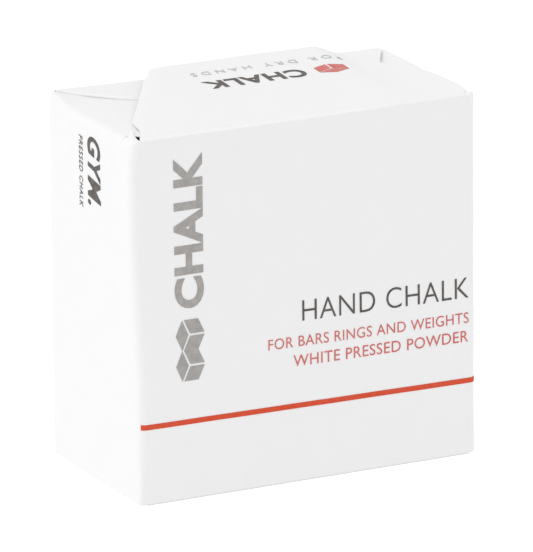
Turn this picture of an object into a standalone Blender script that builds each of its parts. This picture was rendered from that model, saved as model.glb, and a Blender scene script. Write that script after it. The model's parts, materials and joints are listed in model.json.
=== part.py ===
"""A pressed chalk block for gymnastics in its folded paper wrapper, ready to be opened from the top.

Lengths are in millimetres and are turned into metres where a mesh is made. The origin is at the middle of
the underside, +Z is up, the printed front faces -Y and the short left side faces -X. The wrapper is one
sheet: a sleeve glued down the back, and at each end two side tucks under a back flap and a front flap,
whose corners are folded under as wings. Each panel between two creases is an object of its own.
"""

import math
from dataclasses import dataclass

import bmesh
import bpy
from mathutils import Vector

MM = 0.001

# The wrapped block.
WIDTH = 52.0
DEPTH = 28.2
EDGE_RADIUS = 2.4
PAPER = 0.15
LAYER_GAP = 0.05
HALF_WIDTH = WIDTH / 2
HALF_DEPTH = DEPTH / 2
FLAT_WIDTH = HALF_WIDTH - EDGE_RADIUS
FLAT_DEPTH = HALF_DEPTH - EDGE_RADIUS

# Creases: heights of the outside of the paper, how sharply it is bent, and the gap to the sleeve's rim.
FRONT_TOP = 52.4
BACK_TOP = 52.6
SIDE_TOP = 52.0
FRONT_BOTTOM = 0.0
BACK_BOTTOM = 0.4
SIDE_BOTTOM = 0.8
CORNER_TOP = 52.1
CORNER_BOTTOM = 0.2
TOP_BEND = 0.3
BOTTOM_BEND = 0.8
BEND_STEPS = 5
RIM_GAP = 0.05
ARC_STEPS = 8

# Panels: reach over the block in mm, slope in degrees, and how their sloping ends are cut back.
FRONT_REACH = 28.0
FRONT_SLOPE = 3.3
BACK_REACH = 13.2
BACK_SLOPE = -2.5
TUCK_REACH = 12.4
TUCK_SLOPE = -1.5
BOTTOM_FRONT_REACH = 22.0
BOTTOM_FRONT_TAPER = 0.85
TAPER_START = 1.6
END_GAP = 0.3
WING_GAP = 0.25

# The pressed block, with the room it has in the sleeve.
BLOCK_SIDE_GAP = 0.35
BLOCK_BACK_GAP = 0.55
BLOCK_BOTTOM = 1.15
BLOCK_TOP = 51.3
BLOCK_ROUNDING = 2.6
BLOCK_STEPS = 5

# The glued lap down the middle of the back, and the dab that closes the underside.
LAP_WIDTH = 12.0
LAP_STEP = 0.35
LAP_RAMP = 3.0
GLUE = 0.1
SEAM_GLUE_WIDTH = 8.0
SEAM_GLUE_ENDS = 4.0
DAB_WIDTH = 9.0
DAB_DEPTH = 4.0
DAB_HEIGHT = 0.15
DAB_PLACE = 4.4
DAB_SIDES = 32

# The printed line round the front, a little lower at its right end.
STRIPE_LEFT = 11.42
STRIPE_RIGHT = 10.86
STRIPE_HEIGHT = 0.7
STRIPE_TURN = 55.0
INK = 0.05
INK_GAP = 0.01

LEFT = Vector((-1, 0, 0))
RIGHT = Vector((1, 0, 0))
FRONT = Vector((0, -1, 0))
BACK = Vector((0, 1, 0))
UP = Vector((0, 0, 1))
DOWN = Vector((0, 0, -1))


@dataclass
class Crease:
    """A fold between the sleeve and one panel, with the way that panel lies."""

    place: Vector
    inward: Vector
    along: Vector
    up: Vector
    bend: float
    slope: float

    def point(self, across, level, rise):
        return self.place + self.along * across + self.inward * level + self.up * rise

    def flat(self, across, run, depth):
        """A point of the flat panel: across the fold, run out from it, depth under its outside."""
        tilt = math.radians(self.slope)
        level = run * math.cos(tilt) + depth * math.sin(tilt)
        rise = run * math.sin(tilt) - depth * math.cos(tilt)
        return self.point(across, level, rise)

    def bent(self, across, angle, depth):
        """A point of the rounded bend, from 0 degrees at the wall to the panel's own slope."""
        turn = math.radians(angle)
        radius = self.bend - depth
        level = self.bend - radius * math.cos(turn)
        rise = radius * math.sin(turn) - self.bend
        return self.point(across, level, rise)


def clear_scene():
    for obj in list(bpy.data.objects):
        bpy.data.objects.remove(obj, do_unlink=True)


def material(name, colour, roughness):
    made = bpy.data.materials.new(name)
    made.use_nodes = True
    shader = made.node_tree.nodes["Principled BSDF"]
    shader.inputs["Base Color"].default_value = (*colour, 1.0)
    shader.inputs["Roughness"].default_value = roughness
    shader.inputs["Metallic"].default_value = 0.0
    return made


def paper(name):
    return material(name + "_paper", (0.9, 0.9, 0.9), 0.55)


def chalk(name):
    return material(name + "_chalk", (0.93, 0.93, 0.92), 0.95)


def dried_glue(name):
    return material(name + "_dried", (0.75, 0.68, 0.48), 0.35)


def red_ink(name):
    return material(name + "_ink", (0.68, 0.06, 0.03), 0.4)


def add_object(name, shape, look, origin):
    """Turns a bmesh in world millimetres into an object whose origin is the given point."""
    bmesh.ops.recalc_face_normals(shape, faces=shape.faces)
    for vertex in shape.verts:
        vertex.co = (vertex.co - origin) * MM
    mesh = bpy.data.meshes.new(name)
    shape.to_mesh(mesh)
    shape.free()
    mesh.materials.append(look)
    mesh.shade_smooth()
    mesh.set_sharp_from_angle(angle=math.radians(35))
    obj = bpy.data.objects.new(name, mesh)
    obj.location = origin * MM
    bpy.context.scene.collection.objects.link(obj)
    return obj


def ribbon(name, stations, look, origin):
    """A strip as a closed solid. Each station is its four corners, in the same order all along."""
    shape = bmesh.new()
    rings = [[shape.verts.new(corner) for corner in station] for station in stations]
    for first, second in zip(rings, rings[1:]):
        for side in range(4):
            after = (side + 1) % 4
            shape.faces.new((first[side], first[after], second[after], second[side]))
    shape.faces.new(rings[0])
    shape.faces.new(rings[-1])
    return add_object(name, shape, look, origin)


def plate(name, lower, upper, look, origin):
    """A flat solid between two outlines with the same number of corners."""
    shape = bmesh.new()
    bottom = [shape.verts.new(corner) for corner in lower]
    top = [shape.verts.new(corner) for corner in upper]
    shape.faces.new(bottom)
    shape.faces.new(top)
    for index in range(len(bottom)):
        after = (index + 1) % len(bottom)
        shape.faces.new((bottom[index], bottom[after], top[after], top[index]))
    return add_object(name, shape, look, origin)


def ends_at(outline, run):
    """The left and right ends of a panel at a run, from its outline of (run, left, right) rows."""
    for (start, left_a, right_a), (end, left_b, right_b) in zip(outline, outline[1:]):
        if run <= end:
            share = (run - start) / (end - start)
            return left_a + (left_b - left_a) * share, right_a + (right_b - right_a) * share
    return outline[-1][1:]


def tapered_outline(flat_half, corner_half, taper, reach):
    """A panel as wide as the wall's flat at its bend, with ends that run in from the box's corners."""
    bend_half = flat_half - LAYER_GAP
    rows = [(0.0, -bend_half, bend_half)]
    for run in (TAPER_START, reach):
        half = corner_half - END_GAP - taper * run
        rows.append((run, -half, half))
    return rows


def front_outline():
    """The top front flap: its left end is folded at a slant and its right end is nearly square."""
    bend_half = FLAT_WIDTH - LAYER_GAP
    return [
        (0.0, -bend_half, bend_half),
        (TAPER_START, -24.3, 24.7),
        (6.0, -23.8, 24.9),
        (10.5, -21.8, 24.8),
        (FRONT_REACH, -9.9, 24.0),
    ]


def panel(name, crease, outline):
    """A panel with its rounded bend, as a strip whose ends follow the outline."""
    corners = ((0, 0), (1, 0), (1, PAPER), (0, PAPER))
    last_angle = 90 - crease.slope
    stations = []
    for step in range(BEND_STEPS + 1):
        angle = last_angle * step / BEND_STEPS
        ends = ends_at(outline, crease.bend * (1 - math.cos(math.radians(angle))))
        stations.append([crease.bent(ends[end], angle, depth) for end, depth in corners])
    for run, *ends in outline[1:]:
        stations.append([crease.flat(ends[end], run, depth) for end, depth in corners])
    return ribbon(name, stations, paper(name), crease.place)


def wing(name, flap, crease, corners):
    """A corner of the sheet folded under its flap, from (across, run) corners on the flap."""
    depth = PAPER + LAYER_GAP
    upper = [crease.flat(across, run, depth) for across, run in corners]
    lower = [crease.flat(across, run, depth + PAPER) for across, run in corners]
    made = plate(name, lower, upper, paper(name), crease.place)
    made.parent = flap
    made.location = (0, 0, 0)
    return made


def folded_corner(start, end):
    """The wing behind a slanting fold: the paper out to the sheet's corner, turned under the flap."""
    side = math.copysign(1, start.x)
    line = (end - start).normalized()
    corner = Vector((side * HALF_WIDTH, end.y)) - start
    under = start + 2 * corner.dot(line) * line - corner
    inset = Vector((side * WING_GAP, 0))
    return [tuple(start - inset), tuple(end - inset), (under.x, max(under.y, TAPER_START))]


def slanting_wings(name, flap, crease, outline):
    """Both wings of a flap, along the last stretch of its outline."""
    (start, *starts), (end, *ends) = outline[-2:]
    for side, start_across, end_across in zip(("left", "right"), starts, ends):
        fold = Vector((start_across, start)), Vector((end_across, end))
        wing(f"{name}_{side}_wing", flap, crease, folded_corner(*fold))


def front_wings(flap, crease, outline):
    """The left wing lies behind the slanting fold, the right one is turned under at the square end."""
    (start, start_left, start_right), (end, end_left, end_right) = outline[-2:]
    fold = Vector((start_left, start)), Vector((end_left, end))
    wing("top_front_left_wing", flap, crease, folded_corner(*fold))
    square_end = [
        (start_right - 2 * WING_GAP, TAPER_START),
        (end_right - WING_GAP, end - WING_GAP),
        (start_right - HALF_DEPTH, HALF_DEPTH),
    ]
    wing("top_front_right_wing", flap, crease, square_end)


def tucks(end, up, height, bend, slope):
    """The two side tucks of one end, which lie under its flaps."""
    outline = tapered_outline(FLAT_DEPTH, HALF_DEPTH, 1.0, TUCK_REACH)
    for side, outward in (("left", LEFT), ("right", RIGHT)):
        place = outward * HALF_WIDTH + UP * height
        panel(f"{end}_{side}_tuck", Crease(place, -outward, BACK, up, bend, slope), outline)


def top_flaps():
    back = Crease(BACK * HALF_DEPTH + UP * BACK_TOP, FRONT, RIGHT, UP, TOP_BEND, BACK_SLOPE)
    outline = tapered_outline(FLAT_WIDTH, HALF_WIDTH, 1.0, BACK_REACH)
    flap = panel("top_back_flap", back, outline)
    slanting_wings("top_back", flap, back, outline)
    front = Crease(FRONT * HALF_DEPTH + UP * FRONT_TOP, BACK, RIGHT, UP, TOP_BEND, FRONT_SLOPE)
    flap = panel("top_front_flap", front, front_outline())
    front_wings(flap, front, front_outline())


def bottom_flaps():
    ends = (
        ("bottom_front", FRONT, FRONT_BOTTOM, BOTTOM_FRONT_REACH, BOTTOM_FRONT_TAPER),
        ("bottom_back", BACK, BACK_BOTTOM, BACK_REACH, 1.0),
    )
    for name, outward, height, reach, taper in ends:
        place = outward * HALF_DEPTH + UP * height
        crease = Crease(place, -outward, RIGHT, DOWN, BOTTOM_BEND, 0.0)
        outline = tapered_outline(FLAT_WIDTH, HALF_WIDTH, taper, reach)
        flap = panel(f"{name}_flap", crease, outline)
        slanting_wings(name, flap, crease, outline)


def corner_arc(sign_x, sign_y, start, turn):
    """Points and outward directions round one upright edge of the sleeve, clockwise from above."""
    centre = Vector((sign_x * FLAT_WIDTH, sign_y * FLAT_DEPTH, 0))
    arc = []
    for step in range(ARC_STEPS + 1):
        angle = math.radians(start - turn * step / ARC_STEPS)
        outward = Vector((math.cos(angle), math.sin(angle), 0))
        arc.append((centre + outward * EDGE_RADIUS, outward))
    return arc


def wall_rims(top, bottom):
    return bottom + BOTTOM_BEND + RIM_GAP, top - TOP_BEND - RIM_GAP


def sleeve():
    """The tube round the block, from the outer end of its lap clockwise to the inner end."""
    back_rims = wall_rims(BACK_TOP, BACK_BOTTOM)
    side_rims = wall_rims(SIDE_TOP, SIDE_BOTTOM)
    front_rims = wall_rims(FRONT_TOP, FRONT_BOTTOM)
    corners = (
        (1, 1, 90, back_rims, side_rims),
        (1, -1, 0, side_rims, front_rims),
        (-1, -1, -90, front_rims, side_rims),
        (-1, 1, -180, side_rims, back_rims),
    )
    path = [(Vector((-LAP_WIDTH / 2, HALF_DEPTH, 0)), BACK, back_rims)]
    for sign_x, sign_y, start, first_rims, last_rims in corners:
        arc = corner_arc(sign_x, sign_y, start, 90)
        rims = [first_rims] + [(CORNER_BOTTOM, CORNER_TOP)] * (ARC_STEPS - 1) + [last_rims]
        path += [(place, outward, rim) for (place, outward), rim in zip(arc, rims)]
    lap_start = -LAP_WIDTH / 2 - PAPER
    for across, step in ((lap_start - LAP_RAMP, 0), (lap_start, LAP_STEP), (LAP_WIDTH / 2, LAP_STEP)):
        path.append((Vector((across, HALF_DEPTH - step, 0)), BACK, back_rims))
    stations = []
    for place, outward, (bottom, top) in path:
        inside = place - outward * PAPER
        stations.append([place + UP * bottom, place + UP * top, inside + UP * top, inside + UP * bottom])
    ribbon("wrapper_sleeve", stations, paper("wrapper_sleeve"), Vector((0, 0, 0)))


def seam_glue():
    """The dried strip between the two layers of the lap."""
    bottom = BLOCK_BOTTOM + SEAM_GLUE_ENDS
    top = BLOCK_TOP - SEAM_GLUE_ENDS
    outside = HALF_DEPTH - PAPER - LAYER_GAP
    inside = outside - GLUE
    stations = []
    for across in (-SEAM_GLUE_WIDTH / 2, SEAM_GLUE_WIDTH / 2):
        ends = ((outside, bottom), (outside, top), (inside, top), (inside, bottom))
        stations.append([Vector((across, y, z)) for y, z in ends])
    ribbon("seam_glue", stations, dried_glue("seam_glue"), Vector((0, outside, bottom)))


def bottom_glue_dab():
    """An oval dab that holds the bottom front flap to the back flap above it."""
    base = PAPER + LAYER_GAP
    rings = []
    for height in (base, base + DAB_HEIGHT):
        ring = []
        for step in range(DAB_SIDES):
            angle = math.tau * step / DAB_SIDES
            across = math.cos(angle) * DAB_WIDTH / 2
            along = math.sin(angle) * DAB_DEPTH / 2 + DAB_PLACE
            ring.append(Vector((across, along, height)))
        rings.append(ring)
    name = "bottom_glue_dab"
    plate(name, *rings, dried_glue(name), Vector((0, DAB_PLACE, base)))


def chalk_block():
    """The pressed block: a box with all its edges rounded."""
    low = Vector((BLOCK_SIDE_GAP + PAPER - HALF_WIDTH, BLOCK_SIDE_GAP + PAPER - HALF_DEPTH, BLOCK_BOTTOM))
    high = Vector((-low.x, HALF_DEPTH - BLOCK_BACK_GAP - PAPER, BLOCK_TOP))
    shape = bmesh.new()
    bmesh.ops.create_cube(shape, size=1.0)
    for vertex in shape.verts:
        for axis in range(3):
            vertex.co[axis] = low[axis] if vertex.co[axis] < 0 else high[axis]
    bmesh.ops.bevel(
        shape,
        geom=shape.edges,
        offset=BLOCK_ROUNDING,
        segments=BLOCK_STEPS,
        profile=0.5,
        affect="EDGES",
    )
    add_object("chalk_block", shape, chalk("chalk_block"), Vector((0, 0, BLOCK_BOTTOM)))


def printed_stripe():
    """The thin printed line over the front and a little way round its two edges."""
    path = corner_arc(1, -1, STRIPE_TURN - 90, STRIPE_TURN)
    path += corner_arc(-1, -1, -90, STRIPE_TURN)
    stations = []
    for place, outward in path:
        share = (place.x + HALF_WIDTH) / WIDTH
        middle = STRIPE_LEFT + (STRIPE_RIGHT - STRIPE_LEFT) * share
        low = UP * (middle - STRIPE_HEIGHT / 2)
        high = UP * (middle + STRIPE_HEIGHT / 2)
        inside = place + outward * INK_GAP
        outside = inside + outward * INK
        stations.append([outside + low, outside + high, inside + high, inside + low])
    origin = FRONT * HALF_DEPTH + UP * (STRIPE_LEFT + STRIPE_RIGHT) / 2
    ribbon("printed_stripe", stations, red_ink("printed_stripe"), origin)


def main():
    clear_scene()
    chalk_block()
    sleeve()
    seam_glue()
    printed_stripe()
    tucks("top", UP, SIDE_TOP, TOP_BEND, TUCK_SLOPE)
    top_flaps()
    tucks("bottom", DOWN, SIDE_BOTTOM, BOTTOM_BEND, 0.0)
    bottom_flaps()
    bottom_glue_dab()


main()
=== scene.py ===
"""Looks for a gymnastics chalk block in its folded paper wrapper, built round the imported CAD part.

Work is in millimetres in the part's frame and turned into metres where a mesh is made. The wrapper is
built as thin closed sheets: a tube for the four walls, one sheet for each panel with its rounded crease,
one for each edge that is folded under as a wing, and a small lip at each corner. Each panel and lip starts
on the tube's rim, so that the paper runs on. The print is thin ink laid on the paper.
"""

import json
import math

import bmesh
import bpy
import numpy as np
from mathutils import Matrix, Vector, noise


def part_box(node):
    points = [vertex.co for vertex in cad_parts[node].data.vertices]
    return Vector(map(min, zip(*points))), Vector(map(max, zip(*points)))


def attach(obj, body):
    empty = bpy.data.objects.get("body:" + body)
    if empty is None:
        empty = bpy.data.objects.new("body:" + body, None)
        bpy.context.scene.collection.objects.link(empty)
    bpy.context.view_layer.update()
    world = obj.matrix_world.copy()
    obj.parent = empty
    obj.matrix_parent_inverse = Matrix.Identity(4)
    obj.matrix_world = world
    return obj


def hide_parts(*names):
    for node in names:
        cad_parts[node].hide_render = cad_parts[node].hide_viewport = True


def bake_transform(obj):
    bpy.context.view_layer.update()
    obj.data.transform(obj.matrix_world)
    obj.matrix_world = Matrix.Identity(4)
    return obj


MM = 0.001

X = np.array((1.0, 0.0, 0.0))
Y = np.array((0.0, 1.0, 0.0))
Z = np.array((0.0, 0.0, 1.0))

# The paper: its thickness, the radius of its upright edges, and how far it stands off the sleeve.
PAPER = 0.11
EDGE_RADIUS = 1.25
STAND_OFF = 0.3

# How finely it is divided: the spacing of its points, and the steps round an edge, a bend and a lip's bend.
STEP = 0.8
PANEL_STEP = 0.7
LIP_STEP = 0.4
ARC_STEPS = 10
BEND_STEPS = 8
LIP_BEND_STEPS = 6

# The angle at which each upright edge starts, by the signs of its x and y, and the angle that shades sharp.
ARC_STARTS = {(1, 1): 90, (1, -1): 0, (-1, -1): -90, (-1, 1): -180}
SHARP_ANGLE = 50

# The heights between which the walls are one tube, and the glued lap down the back.
WALL_BOTTOM = 2.0
WALL_TOP = 50.3
LAP_HALF = 6.0
LAP_STEP = 0.22
LAP_RAMP = 3.0
LAP_EDGE = 0.3

# Wings: the tightest fold, the greatest width, and the part of the fold that takes a painted highlight with
# some whitening, as columns of the wing's grid.
FOLD_RADIUS = 0.07
WING_WIDTH = 8.0
LIT_AND_WHITENED_COLUMNS = slice(1, 6)

# How far in from a panel's end it rolls down, and how far the left tuck's crease stops short of the front.
ROLL_WIDTH = 1.1
LEFT_TUCK_CUT = 2.65

# How far the panels reach in over the block, the run over which the front flap rises, and the small gap
# under a panel that lies on a lip.
FRONT_REACH = 27.8
BACK_REACH = 13.2
TUCK_REACH = 12.4
FRONT_RISE_RUN = 28.0
UNDER_GAP = 0.03

# Ink: the heights of its lower and upper faces over the paper, and its longest edge. The stripe: its width
# and thickness, and the steps on the two rounded edges where it starts and ends.
INK_BOTTOM = 0.02
INK_TOP = 0.05
INK_EDGE = 1.6
STRIPE_WIDTH = 0.75
STRIPE_THICKNESS = 0.03
STRIPE_RIGHT_STEP = 3
STRIPE_LEFT_STEP = 6

# The chalk: how far it stays inside its CAD box, how round its edges are, and how finely it is divided.
CHALK_INSET = 0.06
CHALK_ROUNDING = 2.5
CHALK_CUTS = 34

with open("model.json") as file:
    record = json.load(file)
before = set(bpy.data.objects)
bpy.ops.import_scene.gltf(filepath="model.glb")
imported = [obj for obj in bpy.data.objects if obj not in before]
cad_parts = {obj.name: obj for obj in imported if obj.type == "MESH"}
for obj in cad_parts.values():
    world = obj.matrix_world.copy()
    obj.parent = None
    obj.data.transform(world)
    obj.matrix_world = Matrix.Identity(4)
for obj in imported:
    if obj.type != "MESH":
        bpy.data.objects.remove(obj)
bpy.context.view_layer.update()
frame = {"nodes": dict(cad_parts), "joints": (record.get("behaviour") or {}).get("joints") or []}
JOINTS = {joint["name"]: joint for joint in frame["joints"]}
SLEEVE_HIGH = np.array(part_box("wrapper_sleeve")[1]) / MM
HALF_WIDTH = SLEEVE_HIGH[0] + STAND_OFF
HALF_DEPTH = SLEEVE_HIGH[1] + STAND_OFF
FLAT_WIDTH = HALF_WIDTH - EDGE_RADIUS
FLAT_DEPTH = HALF_DEPTH - EDGE_RADIUS


def joint_height(name):
    """The height of a hinge in mm."""
    return JOINTS[name]["pos_m"][2] / MM


FRONT_TOP = joint_height("front_flap_fold")
BACK_TOP = joint_height("back_flap_fold")
SIDE_TOP = joint_height("left_tuck_fold")


def smooth(start, end, value):
    """0 before start, 1 after end, and an even rise between them. It falls if start is the larger."""
    share = np.clip((np.asarray(value, float) - start) / (end - start), 0, 1)
    return share * share * (3 - 2 * share)


def bump(value, middle, width):
    """A rounded peak of 1 at the middle."""
    return np.exp(-(((np.asarray(value, float) - middle) / width) ** 2))


# ---------------------------------------------------------------- surface shape


# Which way the front left edge bulges, and how much sharper its lower end is.
EDGE_BULGE = -0.85 * X + 0.15 * Y
EDGE_SHARPNESS = 0.3


def ripple(points):
    """Soft unevenness of the paper, in mm, from the place alone."""
    x, y, z = points[..., 0], points[..., 1], points[..., 2]
    broad = np.sin(0.27 * x + 0.19 * z + 0.31 * y + 0.6) * np.sin(0.17 * z - 0.21 * x + 0.24 * y + 1.9)
    middle = np.sin(0.55 * x - 0.38 * z + 0.5 * y + 2.1) * np.sin(0.43 * z + 0.31 * x - 0.37 * y)
    fine = np.sin(1.3 * x + 0.8 * z - 1.1 * y) * np.sin(0.9 * z - 1.2 * x + 0.7 * y + 0.4)
    return 0.045 * broad + 0.012 * middle + 0.002 * fine


def crease_wrinkles(points):
    """Short upright wrinkles in the walls under the top creases."""
    x, y, z = points[..., 0], points[..., 1], points[..., 2]
    around = x - y
    lines = np.sin(1.7 * around + 0.35 * z) * np.sin(0.63 * around + 1.1)
    return 0.02 * lines * smooth(44, 51, z)


def wall_shift(points, outward):
    """How the walls stand off a true box: the front left edge bulges high up and is sharp low down."""
    shift = outward * (ripple(points) + crease_wrinkles(points))[..., None]
    x, y, z = points[..., 0], points[..., 1], points[..., 2]
    from_edge = np.hypot(x + HALF_WIDTH, y + HALF_DEPTH)
    high_up = smooth(18, 42, z) * (1 - 0.45 * smooth(47.5, 52.4, z))
    bulge = smooth(7.0, 0.0, from_edge) * high_up
    sharper = EDGE_SHARPNESS * bump(from_edge, 0, 0.9) * smooth(8.0, 2.0, z)
    return shift + bulge[..., None] * EDGE_BULGE - sharper[..., None] * (X + Y)


def top_ripple(points):
    """Soft unevenness of a panel on the top or the underside."""
    x, y = points[..., 0], points[..., 1]
    broad = np.sin(0.23 * x + 0.29 * y + 0.5) * np.sin(0.19 * x - 0.33 * y + 1.2)
    middle = np.sin(0.7 * x + 0.4 * y) * np.sin(0.5 * y - 0.45 * x + 2.0)
    return 0.05 * broad + 0.015 * middle


# ---------------------------------------------------------------- sheets


def grid_normals(grid):
    """A unit normal at each point of a grid of points."""
    across = np.gradient(grid, axis=1)
    along = np.gradient(grid, axis=0)
    normals = np.cross(along, across)
    return normals / np.maximum(np.linalg.norm(normals, axis=2, keepdims=True), 1e-9)


def add_object(name, data):
    """An object with this mesh, light or camera, in the scene."""
    obj = bpy.data.objects.new(name, data)
    bpy.context.scene.collection.objects.link(obj)
    return obj


def mesh_of(name, shape, look=None):
    """Turns a bmesh into a mesh and frees it."""
    mesh = bpy.data.meshes.new(name)
    shape.to_mesh(mesh)
    shape.free()
    if look is not None:
        mesh.materials.append(look)
    return mesh


def finish_mesh(name, points, faces, look):
    """A smooth-shaded object from points in mm, whose sharp edges stay sharp."""
    mesh = bpy.data.meshes.new(name)
    corners = [tuple(point) for point in np.asarray(points) * MM]
    mesh.from_pydata(corners, [], [tuple(int(index) for index in face) for face in faces])
    mesh.validate()
    mesh.materials.append(look)
    mesh.shade_smooth()
    mesh.set_sharp_from_angle(angle=math.radians(SHARP_ANGLE))
    return add_object(name, mesh)


def sheet(name, grid, outward, look, crease=None, thickness=PAPER):
    """A closed thin sheet from a grid of points on its outside, with its thickness behind them.

    The crease values paint a highlight with some whitening of the fibres over 0, and paint shade under 0.
    """
    grid = np.asarray(grid, float)
    normals = grid_normals(grid)
    rows, columns = grid.shape[:2]
    if np.dot(normals[rows // 2, columns // 2], outward) < 0:
        grid = grid[:, ::-1]
        normals = grid_normals(grid)
        if crease is not None:
            crease = crease[:, ::-1]
    inner = grid - normals * thickness
    points = np.concatenate([grid.reshape(-1, 3), inner.reshape(-1, 3)])
    count = rows * columns
    index = np.arange(count).reshape(rows, columns)
    back = index + count
    faces = []
    for r in range(rows - 1):
        for c in range(columns - 1):
            faces.append((index[r, c], index[r + 1, c], index[r + 1, c + 1], index[r, c + 1]))
            faces.append((back[r, c], back[r, c + 1], back[r + 1, c + 1], back[r + 1, c]))
    rim = list(index[0, :]) + list(index[1:, -1]) + list(index[-1, -2::-1]) + list(index[-2:0:-1, 0])
    for first, second in zip(rim, rim[1:] + rim[:1]):
        faces.append((first, second, second + count, first + count))
    obj = finish_mesh(name, points, faces, look)
    if crease is not None:
        values = np.concatenate([np.asarray(crease).reshape(-1)] * 2).astype(np.float32)
        obj.data.attributes.new("crease", "FLOAT", "POINT").data.foreach_set("value", values)
    recalc_outside(obj)
    return obj


def recalc_outside(obj):
    """Turns all faces outwards."""
    shape = bmesh.new()
    shape.from_mesh(obj.data)
    bmesh.ops.recalc_face_normals(shape, faces=shape.faces)
    shape.to_mesh(obj.data)
    shape.free()


def spaced(start, end, step=STEP):
    """Evenly spaced values from start to end, about a step apart."""
    count = max(2, int(round(abs(end - start) / step)) + 1)
    return np.linspace(start, end, count)


# ---------------------------------------------------------------- materials


def new_material(name):
    """A material with its node tree and its shader."""
    made = bpy.data.materials.new(name)
    made.use_nodes = True
    tree = made.node_tree
    return made, tree, tree.nodes["Principled BSDF"]


def node(tree, kind, **settings):
    """A new node with these settings."""
    made = tree.nodes.new(kind)
    for key, value in settings.items():
        setattr(made, key, value)
    return made


def noise_node(tree, place, scale, detail, roughness=0.5):
    """A noise value; the scale is in cycles per metre."""
    made = node(tree, "ShaderNodeTexNoise")
    made.inputs["Scale"].default_value = scale
    made.inputs["Detail"].default_value = detail
    made.inputs["Roughness"].default_value = roughness
    tree.links.new(place, made.inputs["Vector"])
    return made.outputs["Fac"]


def object_place(tree):
    """The place in the object's own frame."""
    return node(tree, "ShaderNodeTexCoord").outputs["Object"]


def ranged(tree, value, low, high, to_low, to_high):
    """The value moved from one range to another and kept inside it."""
    made = node(tree, "ShaderNodeMapRange")
    for key, number in zip(("From Min", "From Max", "To Min", "To Max"), (low, high, to_low, to_high)):
        made.inputs[key].default_value = number
    tree.links.new(value, made.inputs["Value"])
    return made.outputs["Result"]


def mixed(tree, share, first, second):
    """A colour between two colours, each a tuple or a socket."""
    made = node(tree, "ShaderNodeMix", data_type="RGBA")
    colours = [socket for socket in made.inputs if socket.type == "RGBA"]
    for socket, colour in zip(colours, (first, second)):
        if isinstance(colour, tuple):
            socket.default_value = (*colour, 1.0)
        else:
            tree.links.new(colour, socket)
    tree.links.new(share, made.inputs[0])
    return next(socket for socket in made.outputs if socket.type == "RGBA")


def bumped(tree, layers, shader):
    """Height layers as (value, strength, distance in mm), stacked into the shader's normal."""
    normal = None
    for value, strength, distance in layers:
        made = node(tree, "ShaderNodeBump")
        made.inputs["Strength"].default_value = strength
        made.inputs["Distance"].default_value = distance * MM
        tree.links.new(value, made.inputs["Height"])
        if normal is not None:
            tree.links.new(normal, made.inputs["Normal"])
        normal = made.outputs["Normal"]
    tree.links.new(normal, shader.inputs["Normal"])


def paper_material():
    """Smooth white wrapping paper: faint cloudiness, fine fibres, a painted highlight with some whitening on
    the creases, and painted contact shade on one.
    """
    made, tree, shader = new_material("wrapper_paper")
    place = object_place(tree)
    clouds = noise_node(tree, place, 260, 4)
    fibres = noise_node(tree, place, 2600, 6, 0.65)
    cockle = noise_node(tree, place, 420, 2)
    white = mixed(tree, ranged(tree, clouds, 0.35, 0.65, 0, 1), (0.775, 0.772, 0.776), (0.781, 0.779, 0.782))
    # Painted highlight along the folds, partly also whitening of the fibres, where the crease value is over
    # 0.
    attribute = node(tree, "ShaderNodeAttribute", attribute_name="crease")
    painted_light_and_whitening = mixed(tree, attribute.outputs["Fac"], white, (0.835, 0.832, 0.832))
    # Painted contact shade along the bottom front crease and its two corners, where the crease value is under
    # 0.
    painted_contact_shade = mixed(tree, ranged(tree, attribute.outputs["Fac"], 0, -1, 0, 1), painted_light_and_whitening, (0.48, 0.475, 0.47))
    tree.links.new(painted_contact_shade, shader.inputs["Base Color"])
    tree.links.new(ranged(tree, clouds, 0.3, 0.7, 0.48, 0.58), shader.inputs["Roughness"])
    shader.inputs["Specular IOR Level"].default_value = 0.4
    bumped(tree, [(cockle, 0.15, 0.08), (fibres, 0.35, 0.02)], shader)
    return made


def ink_material(name, colour, faded):
    """Thin printed ink, a little uneven, with the paper's fibres showing through its surface."""
    made, tree, shader = new_material(name)
    place = object_place(tree)
    coverage = noise_node(tree, place, 1500, 5, 0.6)
    tint = mixed(tree, ranged(tree, coverage, 0.35, 0.7, 0, 1), colour, faded)
    tree.links.new(tint, shader.inputs["Base Color"])
    shader.inputs["Roughness"].default_value = 0.55
    shader.inputs["Specular IOR Level"].default_value = 0.3
    bumped(tree, [(noise_node(tree, place, 2600, 6, 0.65), 0.3, 0.015)], shader)
    return made


def chalk_material():
    """Pressed magnesium carbonate: matt, faintly mottled, with powdery grain and small pits."""
    made, tree, shader = new_material("pressed_chalk")
    place = object_place(tree)
    clouds = noise_node(tree, place, 180, 5)
    grain = noise_node(tree, place, 3200, 8, 0.7)
    pits = node(tree, "ShaderNodeTexVoronoi", feature="F1")
    pits.inputs["Scale"].default_value = 520
    tree.links.new(place, pits.inputs["Vector"])
    pitted = ranged(tree, pits.outputs["Distance"], 0.05, 0.3, 0, 1)
    tint = mixed(tree, ranged(tree, clouds, 0.3, 0.7, 0, 1), (0.83, 0.826, 0.816), (0.87, 0.867, 0.858))
    grainy = mixed(tree, ranged(tree, grain, 0.3, 0.5, 0.25, 0), tint, (0.76, 0.755, 0.745))
    tree.links.new(grainy, shader.inputs["Base Color"])
    shader.inputs["Roughness"].default_value = 0.95
    shader.inputs["Specular IOR Level"].default_value = 0.15
    shader.inputs["Sheen Weight"].default_value = 0.2
    bumped(tree, [(pitted, 0.3, 0.15), (grain, 0.7, 0.06)], shader)
    return made


def glue_material():
    """Dried water-based glue: yellowish, half clear and a little glossy."""
    made, tree, shader = new_material("dried_glue")
    place = object_place(tree)
    clouds = noise_node(tree, place, 500, 4)
    tree.links.new(mixed(tree, clouds, (0.72, 0.62, 0.38), (0.82, 0.75, 0.55)), shader.inputs["Base Color"])
    shader.inputs["Roughness"].default_value = 0.3
    bumped(tree, [(clouds, 0.4, 0.05)], shader)
    return made


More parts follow.
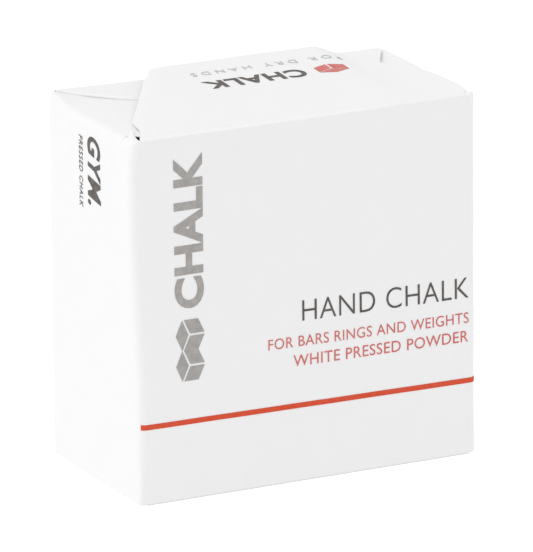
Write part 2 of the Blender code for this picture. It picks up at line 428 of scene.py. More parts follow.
def floor_material():
    """A plain pale sweep with light of its own, so that it stays white round a white object."""
    made, tree, shader = new_material("white_sweep")
    place = object_place(tree)
    clouds = noise_node(tree, place, 9, 3)
    tint = mixed(tree, clouds, (0.195, 0.195, 0.195), (0.205, 0.205, 0.205))
    tree.links.new(tint, shader.inputs["Base Color"])
    shader.inputs["Roughness"].default_value = 0.9
    shader.inputs["Specular IOR Level"].default_value = 0.1
    shader.inputs["Emission Color"].default_value = (1.0, 1.0, 1.0, 1.0)
    shader.inputs["Emission Strength"].default_value = 0.93
    return made


PAPER_LOOK = paper_material()
GREY_INK = ink_material("grey_ink", (0.30, 0.285, 0.275), (0.38, 0.365, 0.355))
DARK_INK = ink_material("dark_ink", (0.060, 0.050, 0.045), (0.13, 0.115, 0.105))
RED_INK = ink_material("red_ink", (0.57, 0.052, 0.013), (0.62, 0.075, 0.03))
PALE_RED_INK = ink_material("pale_red_ink", (0.52, 0.10, 0.085), (0.63, 0.20, 0.18))
FAINT_INK = ink_material("faint_ink", (0.44, 0.43, 0.42), (0.58, 0.57, 0.565))


# ---------------------------------------------------------------- walls


def arc(sign_x, sign_y):
    """Points and outward directions round one upright edge, clockwise from above."""
    centre = np.array((sign_x * FLAT_WIDTH, sign_y * FLAT_DEPTH, 0.0))
    turned = []
    for step in range(ARC_STEPS + 1):
        angle = math.radians(ARC_STARTS[sign_x, sign_y] - 90 * step / ARC_STEPS)
        outward = np.array((math.cos(angle), math.sin(angle), 0.0))
        turned.append((centre + outward * EDGE_RADIUS, outward))
    return turned


def line(start, end, outward):
    """Points along one flat of the outline, without its two ends."""
    count = len(spaced(0, np.linalg.norm(np.array(end) - np.array(start))))
    shares = np.linspace(0, 1, count)[1:-1]
    return [(np.array((*start, 0.0)) * (1 - s) + np.array((*end, 0.0)) * s, outward) for s in shares]


def wall_path():
    """The sleeve's outline from the outer end of its lap clockwise to the inner end."""
    w, d, fw, fd = HALF_WIDTH, HALF_DEPTH, FLAT_WIDTH, FLAT_DEPTH
    inner = d - LAP_STEP
    ramp_start, ramp_end = -LAP_HALF - LAP_RAMP, -LAP_HALF - LAP_EDGE
    path = [(np.array((-LAP_HALF, d, 0.0)), Y)] + line((-LAP_HALF, d), (fw, d), Y)
    path += arc(1, 1) + line((w, fd), (w, -fd), X)
    path += arc(1, -1) + line((fw, -d), (-fw, -d), -Y)
    path += arc(-1, -1) + line((-w, -fd), (-w, fd), -X)
    path += arc(-1, 1) + line((-fw, d), (ramp_start, d), Y)
    path.append((np.array((ramp_start, d, 0.0)), Y))
    path.append((np.array((ramp_end, inner, 0.0)), Y))
    path += line((ramp_end, inner), (LAP_HALF, inner), Y)
    path.append((np.array((LAP_HALF, inner, 0.0)), Y))
    return path


def walls():
    """The four walls as one tube, open down the lap."""
    path = wall_path()
    heights = spaced(WALL_BOTTOM, WALL_TOP, 1.0)
    places = np.array([place for place, _ in path])
    outward = np.array([way for _, way in path])
    grid = places[None] + heights[:, None, None] * Z
    ways = np.broadcast_to(outward[None], grid.shape)
    grid = grid + wall_shift(grid, ways)
    obj = sheet("wrapper_walls", grid, outward[len(path) // 2], PAPER_LOOK, np.zeros(grid.shape[:2]))
    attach(obj, "wrapper")
    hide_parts("wrapper_sleeve")


# ---------------------------------------------------------------- panels


class Panel:
    """A panel of the sheet with its crease: from the wall's rim round the bend and over the block.

    A place on it is given by across, along the crease, and run, in from the wall. The outline lists a run
    with the panel's two ends there. Its height over the crease is rise for each mm of run, plus a shape,
    and roll is how far its left end turns down.
    """

    def __init__(self, outward, side, up, crease, bend, outline, rise, shape, roll=0.0):
        self.outward, self.up = outward, up
        self.along = X if abs(outward[1]) > 0.5 else Y
        self.place = outward * side + Z * crease
        self.bend, self.outline = bend, outline
        self.rise, self.shape, self.roll = rise, shape, roll

    def ends(self, run):
        """The panel's left and right end at a run."""
        rows = np.array(self.outline)
        return np.interp(run, rows[:, 0], rows[:, 1]), np.interp(run, rows[:, 0], rows[:, 2])

    def surface(self, across, run):
        """Points of the flat part."""
        left, _ = self.ends(run)
        rolled = self.roll * np.exp(-np.maximum(across - left, 0) / ROLL_WIDTH) * smooth(0.5, 3.0, run)
        height = self.rise * run + self.shape(across, run) - rolled
        level = np.broadcast_to(run, height.shape)
        points = self.place + self.along * across[..., None] - self.outward * level[..., None]
        points = points + self.up * height[..., None]
        ripples = top_ripple(points) * smooth(1.0, 6.0, level)
        points = points + self.up * ripples[..., None]
        base = self.place + self.along * across[..., None]
        ways = np.broadcast_to(self.outward, base.shape)
        follow = (1 - smooth(0.0, 5.0, level))[..., None]
        return points + wall_shift(base, ways) * follow

    def wall_part(self, across, drop):
        """Points on the wall, a drop away from the crease."""
        base = self.place + self.along * across[..., None] - self.up * drop[..., None]
        return base + wall_shift(base, np.broadcast_to(self.outward, base.shape))

    def bend_part(self, across, angle):
        """Points round the bend, at an angle from the wall in degrees."""
        turn = np.radians(angle)
        level = self.bend * (1 - np.cos(turn))
        drop = self.bend * (1 - np.sin(turn))
        base = self.place + self.along * across[..., None]
        shift = wall_shift(base, np.broadcast_to(self.outward, base.shape))
        start = wall_shift(base - self.up * self.bend, np.broadcast_to(self.outward, base.shape))
        share = (np.sin(turn))[..., None]
        points = base - self.outward * level[..., None] - self.up * drop[..., None]
        height = (self.rise * level + self.shape(across, level))[..., None]
        return points + start * (1 - share) + shift * share + self.up * height * share

    def profile(self, across, turn):
        """How far in and how high the bend is at one end of it, for an angle in radians."""
        level = self.bend * (1 - math.cos(turn))
        drop = self.bend * (1 - math.sin(turn))
        shaped = float(self.shape(np.array(across), np.array(level)))
        height = (self.rise * level + shaped) * math.sin(turn)
        return level, self.place[2] + self.up[2] * (height - drop)

    def grid(self, reach, rim):
        """The panel's points from the rim to its free edge, with how creased each is."""
        shares = np.linspace(0, 1, len(spaced(*self.outline[1][1:])))
        rows, crease = [], []
        depth = abs(self.place[2] - rim)
        for drop in np.linspace(depth, self.bend, 4):
            across = self.across(0.0, shares)
            rows.append(self.wall_part(across, np.full(across.shape, drop)))
            crease.append(0.0)
        for step in range(1, BEND_STEPS + 1):
            angle = 90 * step / BEND_STEPS
            level = self.bend * (1 - math.cos(math.radians(angle)))
            across = self.across(level, shares)
            rows.append(self.bend_part(across, np.full(across.shape, angle)))
            crease.append(bump(angle, 55, 28))
        flat = np.linspace(0, 1, len(spaced(self.bend, reach, PANEL_STEP)))[1:]
        for run in self.bend + (reach - self.bend) * flat:
            across = self.across(run, shares)
            rows.append(self.surface(across, np.full(across.shape, run)))
            crease.append(0.0)
        return np.array(rows), np.array(crease)[:, None] * np.ones(len(shares))

    def across(self, run, shares):
        """Places between the two ends at a run."""
        left, right = self.ends(run)
        return left + (right - left) * shares


def add_panel(name, panel, reach, rim, body, nodes, whitening_and_painted_light):
    """Makes the panel. One on the wrapper is attached to it; one on a body of its own only has its transform
    baked in.

    The last argument paints a highlight with some whitening on its crease, or shade under 0: a number, or a
    function of x.
    """
    grid, crease = panel.grid(reach, rim)
    if callable(whitening_and_painted_light):
        whitening_and_painted_light = whitening_and_painted_light(grid[0, :, 0])
    obj = sheet(name, grid, panel.up, PAPER_LOOK, crease * whitening_and_painted_light)
    if body == "wrapper":
        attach(obj, "wrapper")
    else:
        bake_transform(obj)
    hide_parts(*nodes)


def add_wing(name, panel, side, start, end, radius, reach_under, body, nodes, whitening_and_painted_light=0.0):
    """The folded edge at one end of a panel: round the fold and back under the panel.

    It runs from start to end along the panel's outline, and widens to about reach_under.
    """
    runs = spaced(start, end, PANEL_STEP)
    which, inwards = (0, 1.0) if side == "left" else (1, -1.0)
    across = np.array([panel.ends(run)[which] for run in runs])
    slope = np.gradient(across) / np.gradient(runs)
    length = np.hypot(1.0, slope)
    step_across, step_run = inwards / length, -inwards * slope / length
    edge = panel.surface(across, runs)
    probe = 3.0
    far = panel.surface(across + probe * step_across, np.maximum(runs + probe * step_run, 0.0))
    tangent = np.gradient(edge, axis=0)
    tangent /= np.linalg.norm(tangent, axis=1, keepdims=True)
    inward = far - edge
    inward -= tangent * np.sum(inward * tangent, axis=1, keepdims=True)
    inward /= np.linalg.norm(inward, axis=1, keepdims=True)
    normal = np.cross(tangent, inward)
    normal *= np.sign(normal @ panel.up)[:, None]
    share = (runs - start) / (end - start)
    turn_radius = radius * smooth(0.0, 0.18, share) + FOLD_RADIUS
    columns = []
    for step in range(BEND_STEPS + 1):
        angle = math.pi * step / BEND_STEPS
        out = -inward * (turn_radius * math.sin(angle))[:, None]
        down = -normal * (turn_radius * (1 - math.cos(angle)))[:, None]
        columns.append(edge + out + down)
    width = np.minimum(reach_under * (0.15 + share), WING_WIDTH)
    for part in (0.25, 0.5, 0.75, 1.0):
        under_across = across + width * part * step_across
        under = panel.surface(under_across, np.maximum(runs + width * part * step_run, 0.3))
        columns.append(under - normal * (2 * turn_radius)[:, None])
    grid = np.array(columns).transpose(1, 0, 2)
    if np.sum(grid_normals(grid)[:, 0] * normal) < 0:
        grid = grid[::-1]
    # The grid already faces outwards, and its middle says which way that is there.
    outward = grid_normals(grid)[grid.shape[0] // 2, grid.shape[1] // 2]
    # A painted highlight with some whitening lies on the outer part of the fold.
    painted_light_and_whitening = np.zeros(grid.shape[:2])
    painted_light_and_whitening[:, LIT_AND_WHITENED_COLUMNS] = whitening_and_painted_light
    obj = sheet(name, grid, outward, PAPER_LOOK, painted_light_and_whitening)
    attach(obj, body)
    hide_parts(*nodes)


def front_rise(across, run):
    """The front flap's free edge stands up off the layers under it, and is pressed flat at its right end."""
    lifted = 1.9 - 1.53 * smooth(14.6, 19.4, across)
    share = np.clip(run / FRONT_RISE_RUN, 0, 1.1)
    edge = 0.2 * smooth(21.0, 26.0, across) * smooth(0.0, 2.0, run) * smooth(20.0, 14.0, run)
    return lifted * share**1.35 + edge


def front_panel():
    """The flap on top. Its left end is cut back at a slant and its right end waves in and out."""
    outline = [
        (0.0, -FLAT_WIDTH, FLAT_WIDTH),
        (0.5, -25.0, 25.4),
        (2.2, -24.3, 25.8),
        (5.3, -23.2, 26.1),
        (8.8, -22.3, 26.05),
        (11.1, -21.0, 25.9),
        (13.7, -19.4, 25.4),
        (16.4, -17.75, 24.3),
        (19.9, -15.73, 22.3),
        (21.0, -15.0, 22.0),
        (23.6, -13.5, 23.4),
        (26.1, -11.6, 24.9),
        (27.2, -11.0, 25.3),
        (FRONT_REACH, -10.7, 25.2),
    ]
    bend, rise, roll = 0.42, 0.0, 0.22
    return Panel(-Y, HALF_DEPTH, Z, FRONT_TOP, bend, outline, rise, front_rise, roll)


def front_crease_highlight_and_whitening(x):
    """How strong the painted highlight with some whitening is along the front crease."""
    return 0.9 - 0.7 * smooth(9.0, 14.0, x)


def back_height(across, run):
    """Pressed down at the right under the front flap, and a little high at the left corner."""
    raised = 0.25 * smooth(-14.0, -25.0, across) * np.exp(-run / 6.0)
    return raised - (0.15 + 0.05 * run) * smooth(0.0, 20.0, across)


def back_panel():
    """The flap under the front one, cut back at about 45 degrees at both ends."""
    outline = [
        (0.0, -FLAT_WIDTH, FLAT_WIDTH),
        (0.6, -25.1, 25.1),
        (8.6, -16.5, 16.5),
        (BACK_REACH, -11.6, 11.6),
    ]
    return Panel(Y, HALF_DEPTH, Z, BACK_TOP, bend=0.35, outline=outline, rise=-0.01, shape=back_height)


def left_tuck_height(across, run):
    """Lower than the flaps beside it and rolled softly, but drawn up where it meets the two corners."""
    drawn_up = 1.15 * smooth(8.0, 13.0, across) + 0.5 * smooth(-7.5, -10.5, across)
    under_flap = 0.05 * smooth(-6.0, 0.0, across) + 0.06 * smooth(8.5, 12.0, across)
    return 0.5 * (1 - np.exp(-run / 3.0)) + under_flap + drawn_up * np.exp(-run / 2.4)


def right_tuck_height(across, run):
    """Under the front flap's end at the front, and standing up past it towards the back."""
    behind = 0.45 * smooth(-1.0, 4.0, across) * np.exp(-run / 5.0)
    corner = 0.3 * smooth(-9.5, -12.8, across) * np.exp(-run / 1.2)
    return behind + corner - 0.15 * (1 - np.exp(-run / 3.0))


def sunk(depth):
    """A panel that runs from the bottom edge up to its own layer over the ones outside it."""
    return lambda across, run: -depth * (1 - np.exp(-run / 1.5)) * np.ones_like(across)


def tuck_panel(outward, up, crease, bend, shape, front_end=-FLAT_DEPTH):
    """A side panel, which is pushed in under both flaps. Its crease may stop short of the front."""
    outline = [
        (0.0, front_end, FLAT_DEPTH),
        (0.8, max(-13.4, front_end), 13.9),
        (3.0, -12.6, 13.1),
        (TUCK_REACH, -5.0, 5.0),
    ]
    return Panel(outward, HALF_WIDTH, up, crease, bend, outline, rise=-0.005, shape=shape)


# How strongly each row of a lip takes its fold's painted highlight and whitening: on the wall, round the
# bend, and inside.
LIP_CREASE = [0.0] * 5 + [0.4, 0.8, 1.0, 1.0, 0.8, 0.5] + [0.0] * 3


def run_on(end, distances):
    """Points that carry an outline straight on from its end, at distances along the wall there."""
    place, way = end
    along = np.cross(way, Z)
    return [(place + along * distance, way) for distance in distances]


def corner_lip(
    name,
    corner,
    beside,
    rim,
    lift=(0.0, 0.5, 0.3),
    extra=(0.0, 0.0),
    tip=None,
    whitening_and_painted_light=(0.3, 0.3),
    reach=2.0,
    fall=0.8,
    proud=0.0,
    opening=None,
):
    """The bit of paper that rolls in over one corner of the block, under the two panels beside it.

    Lift is the height, place and width of a raised fold in it. Extra is how far it runs on along the walls
    before and after the corner. Tip is a point that its inner edge is drawn to. Its fold is given a painted
    highlight with some whitening, or painted shade under 0, by a value at each of its two ends.
    Reach and fall shape its inner edge, and proud is how far it stands off the wall. When opening is given,
    the lip is left unattached with its transform baked in; the body and points it holds are not used.
    """
    up = beside[0].up
    path = arc(*corner)
    if extra[0]:
        path = run_on(path[0], -spaced(extra[0], 0.0, LIP_STEP)[:-1]) + path
    if extra[1]:
        path = path + run_on(path[-1], spaced(0.0, extra[1], LIP_STEP)[1:])
    places = np.array([place for place, _ in path])
    ways = np.array([way for _, way in path])
    share = np.linspace(0, 1, len(path))
    height, middle, width = lift
    raised = height * bump(share, middle, width)
    ends = [panel.along @ place for panel, place in zip(beside, (places[0], places[-1]))]

    def rolled(turn):
        """How far in and how high the lip is round its bend, just under the two panels."""
        (level_a, z_a), (level_b, z_b) = (panel.profile(end, turn) for panel, end in zip(beside, ends))
        under = (PAPER + UNDER_GAP) * math.sin(turn)
        level = level_a + (level_b - level_a) * share
        return level, z_a + (z_b - z_a) * smooth(0, 1, share) + up[2] * (raised * math.sin(turn) - under)

    _, start_z = rolled(0.0)
    rows = []
    for part in np.linspace(0, 1, 5):
        base = places + (rim + (start_z - rim) * part)[:, None] * Z
        rows.append(base + wall_shift(base, ways) + ways * proud * part)
    for step in range(1, LIP_BEND_STEPS + 1):
        level, z = rolled(math.radians(90 / LIP_BEND_STEPS * step))
        base = places + z[:, None] * Z
        rows.append(base + wall_shift(base, ways) - ways * (level - proud)[:, None])
    edge = rows[-1]
    length = reach * (0.15 + np.sin(math.pi * share) ** 0.7)
    end = edge - ways * length[:, None] - up * ((0.05 + fall * raised) * length)[:, None]
    if tip is not None:
        end = edge + (np.array(tip) - edge) * (0.96 * smooth(0.0, 0.35, share))[:, None]
    for part in (0.33, 0.66, 1.0):
        rows.append(edge + (end - edge) * part)
    # The lip's fold gets a painted highlight with some whitening, or painted shade where the values are under
    # 0.
    light_and_whitening_across = whitening_and_painted_light[0] + (whitening_and_painted_light[1] - whitening_and_painted_light[0]) * share
    creased = np.array(LIP_CREASE)[:, None] * light_and_whitening_across
    obj = sheet(name, np.array(rows), ways[len(path) // 2] * 0.3 + up, PAPER_LOOK, creased)
    if opening is None:
        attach(obj, "wrapper")
    else:
        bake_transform(obj)


def top_closure():
    """The panels that close the top, from the lowest layer up, and its four corners."""
    left = tuck_panel(-X, Z, SIDE_TOP - 0.25, 0.9, left_tuck_height, -FLAT_DEPTH + LEFT_TUCK_CUT)
    right = tuck_panel(X, Z, SIDE_TOP + 0.1, 0.35, right_tuck_height)
    # The last number for each panel paints a highlight with some whitening on its crease.
    add_panel("left_tuck_paper", left, TUCK_REACH, WALL_TOP, "left_tuck", ["top_left_tuck"], 0.0)
    add_panel("right_tuck_paper", right, TUCK_REACH, WALL_TOP, "right_tuck", ["top_right_tuck"], 0.3)
    back = back_panel()
    add_panel("back_flap_paper", back, BACK_REACH, WALL_TOP, "back_flap", ["top_back_flap"], 0.4)
    # The back wings' folds carry a strong painted highlight with some whitening.
    for side in ("left", "right"):
        name, nodes = f"back_{side}_wing_paper", [f"top_back_{side}_wing"]
        add_wing(name, back, side, 0.7, BACK_REACH, 0.14, 7.0, "back_flap", nodes, 0.9)
    front, nodes = front_panel(), ["top_front_flap"]
    add_panel("front_flap_paper", front, FRONT_REACH, WALL_TOP, "front_flap", nodes, front_crease_highlight_and_whitening)
    for side, start, radius, reach_under in (("left", 5.5, 0.17, 8.0), ("right", 1.6, 0.03, 4.0)):
        name, nodes = f"front_{side}_wing_paper", [f"top_front_{side}_wing"]
        add_wing(name, front, side, start, FRONT_REACH, radius, reach_under, "front_flap", nodes)
    corner_lip(
        "corner_front_left",
        (-1, -1),
        (front, left),
        WALL_TOP,
        lift=(0.1, 0.6, 0.3),
        extra=(0.0, LEFT_TUCK_CUT),
        tip=(-24.2, -8.7, 52.6),
        opening=("left_tuck", np.array((-24.9, -12.2, 51.1)), np.array((-24.4, -11.85, 51.85))),
    )
    # Its fold carries a painted highlight with some whitening, strongest at the front.
    corner_lip(
        "corner_front_right",
        (1, -1),
        (right, front),
        WALL_TOP,
        lift=(0.45, 0.6, 0.5),
        extra=(1.6, 0.3),
        whitening_and_painted_light=(0.2, 0.8),
        reach=0.8,
        fall=0.1,
        proud=0.04,
    )
    corner_lip("corner_back_right", (1, 1), (back, right), WALL_TOP, reach=0.9)
    corner_lip("corner_back_left", (-1, 1), (left, back), WALL_TOP, reach=0.9)
    return front


# The underside: how high each layer's crease is, how sharp, and how far the layer lies over the outer ones.
BOTTOM_LAYERS = {"front": 0.0, "back": 0.1, "side": 0.03}
BOTTOM_BENDS = {"front": 0.35, "back": 0.4, "side": 0.2}
BOTTOM_SINKS = {"front": 0.0, "back": 0.35, "side": 0.5}
BOTTOM_TUCK_REACH = 14.8
BOTTOM_FRONT_REACH = 22.0


def bottom_closure():
    """The panels that close the underside, which is glued shut, and its four corners."""
    start = [(0.0, -FLAT_WIDTH, FLAT_WIDTH), (0.9, -24.95, 24.95)]
    front_outline = [*start, (1.8, -24.2, 24.2), (BOTTOM_FRONT_REACH, -7.0, 7.0)]
    back_outline = [*start, (1.8, -23.9, 23.9), (BACK_REACH, -12.5, 12.5)]
    panels = {}
    # Each tuck's crease gets a faint painted highlight with some whitening.
    for side, outward in (("left", -X), ("right", X)):
        name = f"bottom_{side}_tuck"
        layer, bend, sinks = BOTTOM_LAYERS["side"], BOTTOM_BENDS["side"], sunk(BOTTOM_SINKS["side"])
        panel = tuck_panel(outward, -Z, layer, bend, sinks)
        add_panel(name + "_paper", panel, BOTTOM_TUCK_REACH, WALL_BOTTOM, "wrapper", [name], 0.2)
        panels[side] = panel
    # The back flap's crease gets a painted highlight with some whitening; the front flap's gets painted
    # contact shade.
    for end, outward, outline, reach, painted_light_and_whitening in (
        ("back", Y, back_outline, BACK_REACH, 0.4),
        ("front", -Y, front_outline, BOTTOM_FRONT_REACH, -1.0),
    ):
        name = f"bottom_{end}_flap"
        layer, bend, sinks = BOTTOM_LAYERS[end], BOTTOM_BENDS[end], sunk(BOTTOM_SINKS[end])
        panel = Panel(outward, HALF_DEPTH, -Z, layer, bend, outline, rise=-0.004, shape=sinks)
        add_panel(name + "_paper", panel, reach, WALL_BOTTOM, "wrapper", [name], painted_light_and_whitening)
        panels[end] = panel
        for side in ("left", "right"):
            wing = f"bottom_{end}_{side}_wing"
            add_wing(wing + "_paper", panel, side, 1.8, reach, 0.09, 6.0, "wrapper", [wing])
    # Each corner's pair paints its fold: contact shade at the front ends, a highlight with some whitening
    # elsewhere.
    for first, last, corner, whitening_and_painted_light in (
        ("front", "left", (-1, -1), (-1.0, 0.0)),
        ("right", "front", (1, -1), (0.0, -0.6)),
        ("back", "right", (1, 1), (0.3, 0.2)),
        ("left", "back", (-1, 1), (0.2, 0.3)),
    ):
        beside = (panels[first], panels[last])
        corner_lip(f"bottom_corner_{first}_{last}", corner, beside, WALL_BOTTOM, whitening_and_painted_light=whitening_and_painted_light)


# ---------------------------------------------------------------- print


def ink_from_mesh(name, mesh, place, look, body):
    """Lays a flat extruded mesh on a surface: place(u, v) gives the point and the normal, in mm."""
    shape = bmesh.new()
    shape.from_mesh(mesh)
    bmesh.ops.triangulate(shape, faces=shape.faces)
    for _ in range(4):
        long_edges = [edge for edge in shape.edges if edge.calc_length() > INK_EDGE]
        if not long_edges:
            break
        bmesh.ops.subdivide_edges(shape, edges=long_edges, cuts=1)
        bmesh.ops.triangulate(shape, faces=shape.faces)
    points = np.array([vertex.co for vertex in shape.verts])
    middle = (points[:, 2].min() + points[:, 2].max()) / 2
    surface, normals = place(points[:, 0], points[:, 1])
    lift = np.where(points[:, 2] > middle, INK_TOP, INK_BOTTOM)[:, None]
    for vertex, spot in zip(shape.verts, surface + normals * lift):
        vertex.co = Vector(spot) * MM
    bmesh.ops.recalc_face_normals(shape, faces=shape.faces)
    obj = add_object(name, mesh_of(name, shape, look))
    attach(obj, body)


def lettering(text, width, cap, bold=0.0, slant=0.0, spacing=1.0):
    """Generic lettering as a flat mesh, fitted to a width and a capital height, from the origin."""
    curve = bpy.data.curves.new("lettering", "FONT")
    curve.body = text
    curve.size = 10.0
    curve.offset = bold
    curve.shear = slant
    curve.space_character = spacing
    curve.resolution_u = 5
    curve.extrude = 0.1
    holder = add_object("lettering", curve)
    graph = bpy.context.evaluated_depsgraph_get()
    mesh = bpy.data.meshes.new_from_object(holder.evaluated_get(graph))
    bpy.data.objects.remove(holder)
    bpy.data.curves.remove(curve)
    points = np.array([vertex.co for vertex in mesh.vertices])
    low, high = points.min(0), points.max(0)
    for vertex in mesh.vertices:
        vertex.co.x = (vertex.co.x - low[0]) * width / (high[0] - low[0])
        vertex.co.y = (vertex.co.y - low[1]) * cap / (high[1] - low[1])
    return mesh


def block_icon(width, height):
    """A plain upright block seen from one corner: three faces with gaps between them."""
    gap = 0.035
    thickness = 0.2
    faces = (
        [(0.5, 1.0), (1.0, 0.78), (0.5, 0.56), (0.0, 0.78)],
        [(0.0, 0.72), (0.5 - gap, 0.50), (0.5 - gap, 0.0), (0.0, 0.22)],
        [(1.0, 0.72), (0.5 + gap, 0.50), (0.5 + gap, 0.0), (1.0, 0.22)],
    )
    shape = bmesh.new()
    for corners in faces:
        low, high = (
            [shape.verts.new((u * width, v * height, level)) for u, v in corners] for level in (0, thickness)
        )
        shape.faces.new(low)
        shape.faces.new(high)
        for index in range(4):
            after = (index + 1) % 4
            shape.faces.new((low[index], low[after], high[after], high[index]))
    return mesh_of("icon", shape)


def with_normals(spot, a, b):
    """The points that spot gives at a and b, with the surface's normals there."""
    small = 0.05
    along_a = spot(a + small, b) - spot(a - small, b)
    along_b = spot(a, b + small) - spot(a, b - small)
    normals = np.cross(along_a, along_b)
    normals /= np.linalg.norm(normals, axis=-1, keepdims=True)
    return spot(a, b), normals


def wall_point(outward, across, height):
    """Point and normal on a wall's flat at a place across it and a height."""
    along = X if abs(outward[1]) > 0.5 else Y
    side = HALF_DEPTH if abs(outward[1]) > 0.5 else HALF_WIDTH

    def spot(a, h):
        base = outward * side + along * a[..., None] + Z * h[..., None]
        return base + wall_shift(base, np.broadcast_to(outward, base.shape))

    points, normals = with_normals(spot, across, height)
    return points, normals * np.sign(normals @ outward)[..., None]


def on_front(origin_x, origin_z, angle=0, slope=0.0):
    """Places flat print on the front wall: turned by an angle about its origin, rising by a slope."""
    turn = math.radians(angle)

    def place(u, v):
        x = origin_x + u * math.cos(turn) - v * math.sin(turn)
        z = origin_z + u * math.sin(turn) + v * math.cos(turn)
        return wall_point(-Y, x, z + slope * (x - origin_x))

    return place


def on_left(baseline_y, start_z):
    """Print that reads downwards on the left wall, with the tops of its letters towards the front."""

    def place(u, v):
        return wall_point(-X, baseline_y - v, start_z - u)

    return place


def on_flap(panel, start_x, baseline_y):
    """Print on the front flap, the right way up for someone behind the block."""

    def spot(x, y):
        return panel.surface(x, y + HALF_DEPTH)

    def place(u, v):
        return with_normals(spot, start_x - u, baseline_y - v)

    return place


def front_print():
    """A word and two icons that read upwards at the left, and three rows of words to the right of them."""
    baseline_x = -16.2
    word = lettering("CHALK", 22.0, 4.45, bold=0.42, spacing=1.06)
    ink_from_mesh("print_front_word", word, on_front(baseline_x, 27.6, 90), GREY_INK, "wrapper")
    icon = block_icon(4.4, 4.4)
    for index, low in enumerate((17.2, 21.6)):
        place = on_front(baseline_x, low, 90)
        ink_from_mesh(f"print_front_icon_{index}", icon, place, GREY_INK, "wrapper")
    # Each row's name and words, where it starts, its width and capital height, boldness, slope and ink.
    rows = (
        ("title", "HAND CHALK", -1.1, 23.3, 26.1, 3.0, -0.09, -0.011, DARK_INK),
        ("line_1", "FOR BARS RINGS AND WEIGHTS", -6.4, 19.75, 31.4, 1.55, -0.02, -0.013, PALE_RED_INK),
        ("line_2", "WHITE PRESSED POWDER", -2.5, 16.85, 27.4, 1.65, 0.0, -0.009, PALE_RED_INK),
    )
    for name, text, x, z, width, cap, bold, slope, look in rows:
        mesh = lettering(text, width, cap, bold=bold, spacing=1.05)
        ink_from_mesh(f"print_front_{name}", mesh, on_front(x, z, slope=slope), look, "wrapper")


def side_print():
    """A short word with a smaller line beside it, high on the narrow wall."""
    word = lettering("GYM.", 9.9, 4.1, bold=0.28, slant=0.22, spacing=1.1)
    ink_from_mesh("print_side_word", word, on_left(1.0, 49.7), DARK_INK, "wrapper")
    small = lettering("PRESSED CHALK", 10.2, 1.15, slant=0.15, spacing=1.15)
    ink_from_mesh("print_side_line", small, on_left(3.75, 49.1), DARK_INK, "wrapper")


def flap_print(panel):
    """A word and an icon on the front flap, with a fainter line near its free edge."""
    word = lettering("CHALK", 15.6, 3.25, bold=0.30, spacing=1.1)
    ink_from_mesh("print_flap_word", word, on_flap(panel, 8.9, 5.4), DARK_INK, "front_flap")
    icon = block_icon(4.6, 3.6)
    ink_from_mesh("print_flap_icon", icon, on_flap(panel, 15.4, 5.8), PALE_RED_INK, "front_flap")
    small = lettering("FOR DRY HANDS", 23.5, 1.25, bold=-0.02, spacing=1.6)
    ink_from_mesh("print_flap_line", small, on_flap(panel, 16.9, 9.2), FAINT_INK, "front_flap")


def stripe():
    """The thin red line across the front, ending in its two rounded edges."""
    low, high = (np.array(corner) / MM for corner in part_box("printed_stripe"))
    right_arc = arc(1, -1)[STRIPE_RIGHT_STEP:]
    left_arc = arc(-1, -1)[:STRIPE_LEFT_STEP]
    path = right_arc + line((FLAT_WIDTH, -HALF_DEPTH), (-FLAT_WIDTH, -HALF_DEPTH), -Y) + left_arc
    places = np.array([place for place, _ in path])
    ways = np.array([way for _, way in path])
    share = (places[:, 0] + HALF_WIDTH) / (2 * HALF_WIDTH)
    middle = (high[2] - STRIPE_WIDTH / 2) * (1 - share) + (low[2] + STRIPE_WIDTH / 2) * share
    rows = []
    for part in np.linspace(-0.5, 0.5, 4):
        base = places + (middle + part * STRIPE_WIDTH)[:, None] * Z
        rows.append(base + wall_shift(base, ways) + ways * INK_TOP)
    obj = sheet("print_stripe", np.array(rows), -Y, RED_INK, thickness=STRIPE_THICKNESS)
    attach(obj, "wrapper")
    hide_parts("printed_stripe")


# ---------------------------------------------------------------- block and glue


def chalk_block():
    """The pressed block, with powdery, slightly broken edges."""
    low, high = (np.array(corner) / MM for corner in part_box("chalk_block"))
    low, high = low + CHALK_INSET, high - CHALK_INSET
    shape = bmesh.new()
    bmesh.ops.create_cube(shape, size=2.0)
    bmesh.ops.subdivide_edges(shape, edges=shape.edges, cuts=CHALK_CUTS, use_grid_fill=True)
    centre, half = (low + high) / 2, (high - low) / 2
    for vertex in shape.verts:
        target = np.array(vertex.co)
        # The divisions are closer together towards the edges.
        spread = np.sign(target) * (1 - (1 - np.abs(target)) ** 1.35)
        point = centre + spread * half
        # The nearest point of a smaller box inside, from which the surface is pushed out to round the edges.
        core = np.clip(point, low + CHALK_ROUNDING, high - CHALK_ROUNDING)
        out = point - core
        length = np.linalg.norm(out)
        way = out / length
        surface = core + way * CHALK_ROUNDING
        # The surface is a little rough all over, and rough and chipped on the edges.
        edge = 1 - np.max(np.abs(way))
        rough = noise.fractal(Vector(surface) * 0.45, 1.0, 2.0, 5)
        chips = max(0.0, noise.noise(Vector(surface) * 0.9 + Vector((7, 3, 1))) - 0.15)
        depth = 0.03 + 0.03 * rough + edge * (0.10 + 0.15 * rough + 0.9 * chips)
        vertex.co = Vector(surface - way * max(depth, 0.0)) * MM
    mesh = mesh_of("chalk_block_pressed", shape, chalk_material())
    mesh.shade_smooth()
    obj = add_object("chalk_block_pressed", mesh)
    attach(obj, "block")
    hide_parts("chalk_block")


def glue():
    """The glue keeps the CAD's own shapes and only takes a new look."""
    look = glue_material()
    for name in ("seam_glue", "bottom_glue_dab"):
        mesh = frame["nodes"][name].data
        mesh.materials.clear()
        mesh.materials.append(look)


# ---------------------------------------------------------------- stage


# In metres.
FLOOR_HALF_SIZE = 1.5
FLOOR_DROP = 0.00003

SUN_ENERGY = 0.69
SUN_ANGLE = 35
SUN_FROM = (-0.68, 0.2, 0.70)


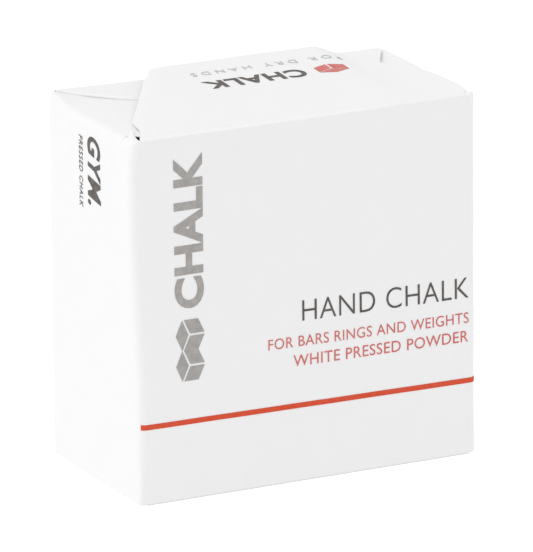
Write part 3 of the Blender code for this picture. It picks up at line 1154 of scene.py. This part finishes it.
def floor():
    """The floor, a hair under the object so that the two don't share a plane."""
    shape = bmesh.new()
    bmesh.ops.create_grid(shape, x_segments=24, y_segments=24, size=FLOOR_HALF_SIZE)
    obj = add_object("floor", mesh_of("floor", shape, floor_material()))
    obj.location = (0, 0, -FLOOR_DROP)


def lights():
    """An even white surround with one soft sun from the left."""
    world = bpy.data.worlds.new("studio")
    bpy.context.scene.world = world
    world.use_nodes = True
    background = world.node_tree.nodes["Background"]
    background.inputs["Color"].default_value = (1.0, 1.0, 1.0, 1.0)
    background.inputs["Strength"].default_value = 1.0
    key = bpy.data.lights.new("key", "SUN")
    key.energy = SUN_ENERGY
    key.angle = math.radians(SUN_ANGLE)
    obj = add_object("key", key)
    obj.rotation_mode = "QUATERNION"
    obj.rotation_quaternion = Vector(SUN_FROM).to_track_quat("Z", "Y")
    bpy.context.scene.view_settings.view_transform = "Standard"


# The camera's direction in degrees, its distance, how far its aim is off the middle, its lens and its sensor.
CAMERA_AZIMUTH = -26.45
CAMERA_ELEVATION = 16.34
CAMERA_ROLL = -0.56
CAMERA_DISTANCE = 1083.0
CAMERA_AIM = (0.53, -0.28)
CAMERA_LENS = 504.0
SENSOR_WIDTH = 36.0


def camera():
    """A long lens from the front left and a little above."""
    azimuth, elevation, roll = (math.radians(v) for v in (CAMERA_AZIMUTH, CAMERA_ELEVATION, CAMERA_ROLL))
    level = math.cos(elevation)
    back = Vector((math.sin(azimuth) * level, -math.cos(azimuth) * level, math.sin(elevation)))
    right = Vector((math.cos(azimuth), math.sin(azimuth), 0))
    up = back.cross(right)
    turned = right * math.cos(roll) + up * math.sin(roll)
    above = up * math.cos(roll) - right * math.sin(roll)
    target = Vector((0, 0, (FRONT_TOP + 0.04) / 2)) + turned * CAMERA_AIM[0] + above * CAMERA_AIM[1]
    data = bpy.data.cameras.new("camera")
    data.sensor_width = SENSOR_WIDTH
    data.lens = CAMERA_LENS
    data.clip_start = 0.05
    data.clip_end = 20.0
    obj = add_object("camera", data)
    axes = Matrix((turned, above, back)).transposed().to_4x4()
    obj.matrix_world = Matrix.Translation((target + back * CAMERA_DISTANCE) * MM) @ axes
    bpy.context.scene.camera = obj


def main():
    """Builds the whole scene."""
    walls()
    front = top_closure()
    bottom_closure()
    stripe()
    front_print()
    side_print()
    flap_print(front)
    chalk_block()
    glue()
    floor()
    lights()
    camera()


main()
